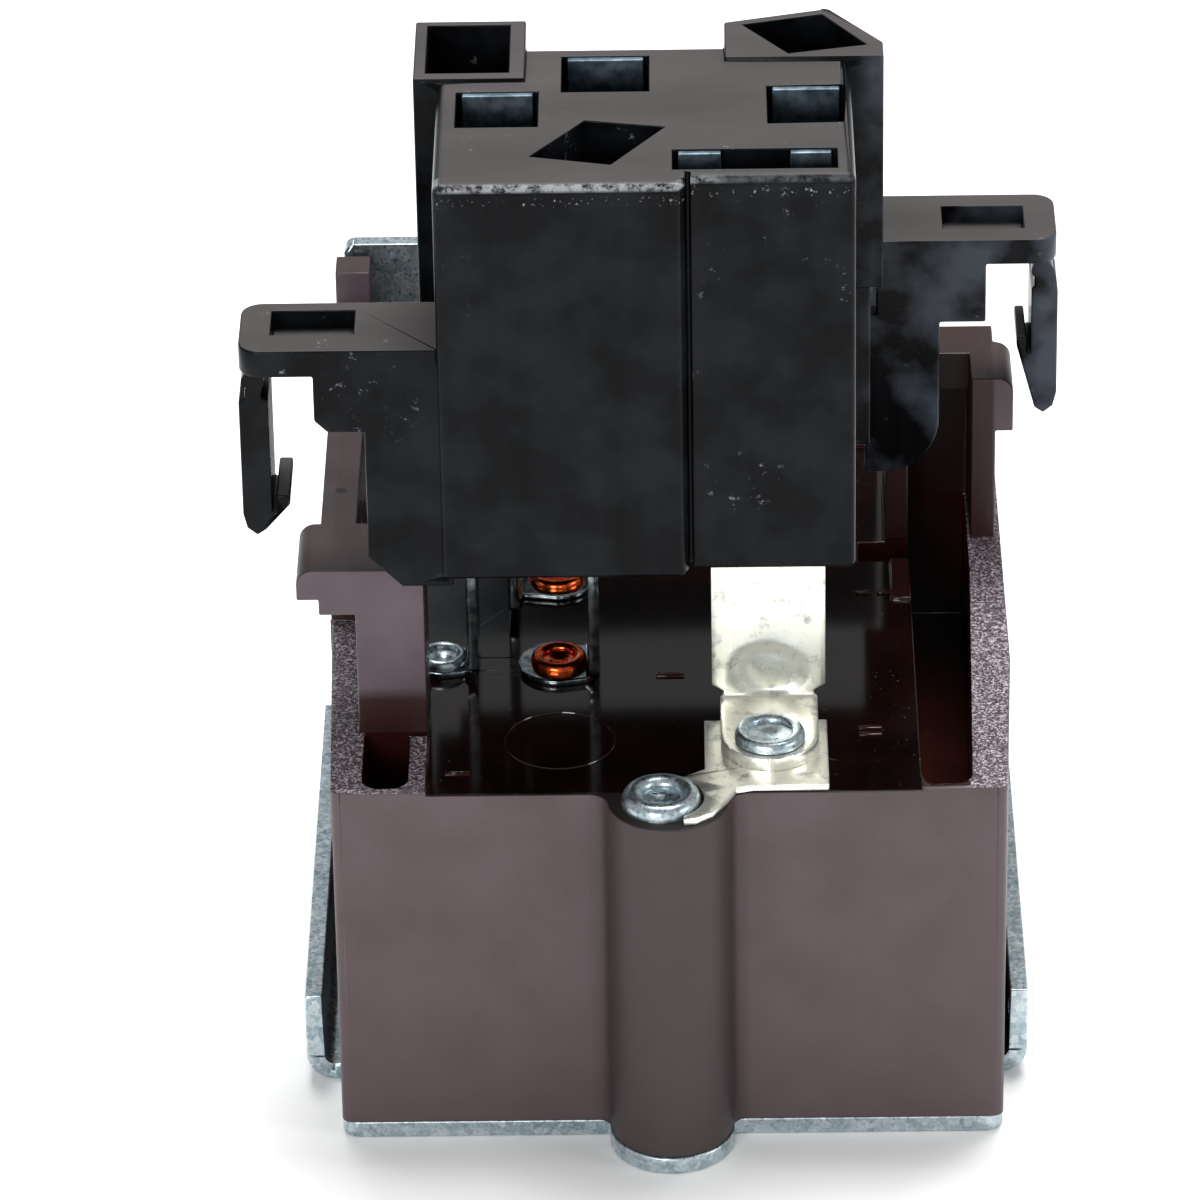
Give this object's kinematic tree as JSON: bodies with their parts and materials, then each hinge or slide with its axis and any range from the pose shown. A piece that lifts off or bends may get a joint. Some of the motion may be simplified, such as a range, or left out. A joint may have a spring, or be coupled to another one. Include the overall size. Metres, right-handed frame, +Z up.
{
  "type": "plug-in control relay",
  "caption": "Riveted phenolic relay housing on a steel bracket, with blade terminals and a latching black plug module shown lifted off its latches.",
  "frame": {"origin": "underside of the steel base, at the middle of the housing", "axes": "+Z up along the plug's travel, -Y towards the front boss"},
  "size_m": [0.0453, 0.0454, 0.0573],
  "materials": {
    "phenolic": "moulded phenolic, satin walls and a glossy deck",
    "black_plastic": "moulded black thermoplastic, scuffed",
    "zinc_steel": "zinc plated pressed steel",
    "tinned_brass": "bright tin plate over brass",
    "copper": "bare copper",
    "nylon": "moulded nylon",
    "enamelled_wire": "enamelled copper wire",
    "soft_iron": "plated soft iron",
    "spring_bronze": "phosphor bronze strip",
    "silver_alloy": "silver alloy",
    "spring_steel": "drawn spring steel wire"
  },
  "bodies": {
    "base": {"steel_base": "zinc_steel", "housing": "phenolic", "link_strip": "tinned_brass", "tab_terminal": "tinned_brass", "copper_blade": "tinned_brass", "left_blade": "tinned_brass", "rear_blade": "tinned_brass", "front_rivet": "zinc_steel", "rear_rivets": "zinc_steel", "tab_eyelet": "zinc_steel", "copper_eyelet": "copper", "left_eyelet": "zinc_steel", "rear_eyelet": "copper", "bobbin": "nylon", "coil_winding": "enamelled_wire", "core": "soft_iron", "yoke": "soft_iron", "coil_leads": "enamelled_wire", "contact_block": "phenolic", "fixed_bracket": "tinned_brass", "fixed_contact": "silver_alloy", "return_spring": "spring_steel"},
    "plug": {"plug_housing": "black_plastic", "tab_receptacle": "tinned_brass", "copper_receptacle": "tinned_brass", "left_receptacle": "tinned_brass", "rear_receptacle": "tinned_brass"},
    "left_arm": {"left_latch": "black_plastic"},
    "right_arm": {"right_latch": "black_plastic"},
    "armature_body": {"armature": "soft_iron"},
    "card": {"actuator_card": "nylon"},
    "contact_leaf": {"moving_spring": "spring_bronze", "moving_contact": "silver_alloy"}
  },
  "joints": [
    {"name": "plug_slide", "type": "slide", "parent": "base", "child": "plug", "axis": [0, 0, 1], "range_m": [-0.0072, 0.02]},
    {"name": "left_latch_flex", "type": "hinge", "parent": "plug", "child": "left_arm", "pos_m": [-0.0222, -0.0116, 0.0448], "axis": [0, 1, 0], "range_deg": [-6, 10], "stiffness_Nm_per_rad": 0.005},
    {"name": "right_latch_flex", "type": "hinge", "parent": "plug", "child": "right_arm", "pos_m": [0.0214, 0.0088, 0.04035], "axis": [0, -1, 0], "range_deg": [-6, 10], "stiffness_Nm_per_rad": 0.005},
    {"name": "armature_hinge", "type": "hinge", "parent": "base", "child": "armature_body", "pos_m": [0, -0.0048, 0.0034], "axis": [-1, 0, 0], "range_deg": [0, 4.5], "stiffness_Nm_per_rad": 0.02, "deforming": ["return_spring"]},
    {"name": "card_slide", "type": "slide", "parent": "base", "child": "card", "axis": [0, 1, 0], "range_m": [0, 0.00105]},
    {"name": "leaf_flex", "type": "hinge", "parent": "base", "child": "contact_leaf", "pos_m": [0, -0.01335, 0.0053], "axis": [-1, 0, 0], "range_deg": [0, 5.5]}
  ],
  "couplings": [
    {"joint": "card_slide", "follows": "armature_hinge", "m_per_rad": 0.0129},
    {"joint": "leaf_flex", "follows": "armature_hinge", "ratio": 1.18}
  ]
}
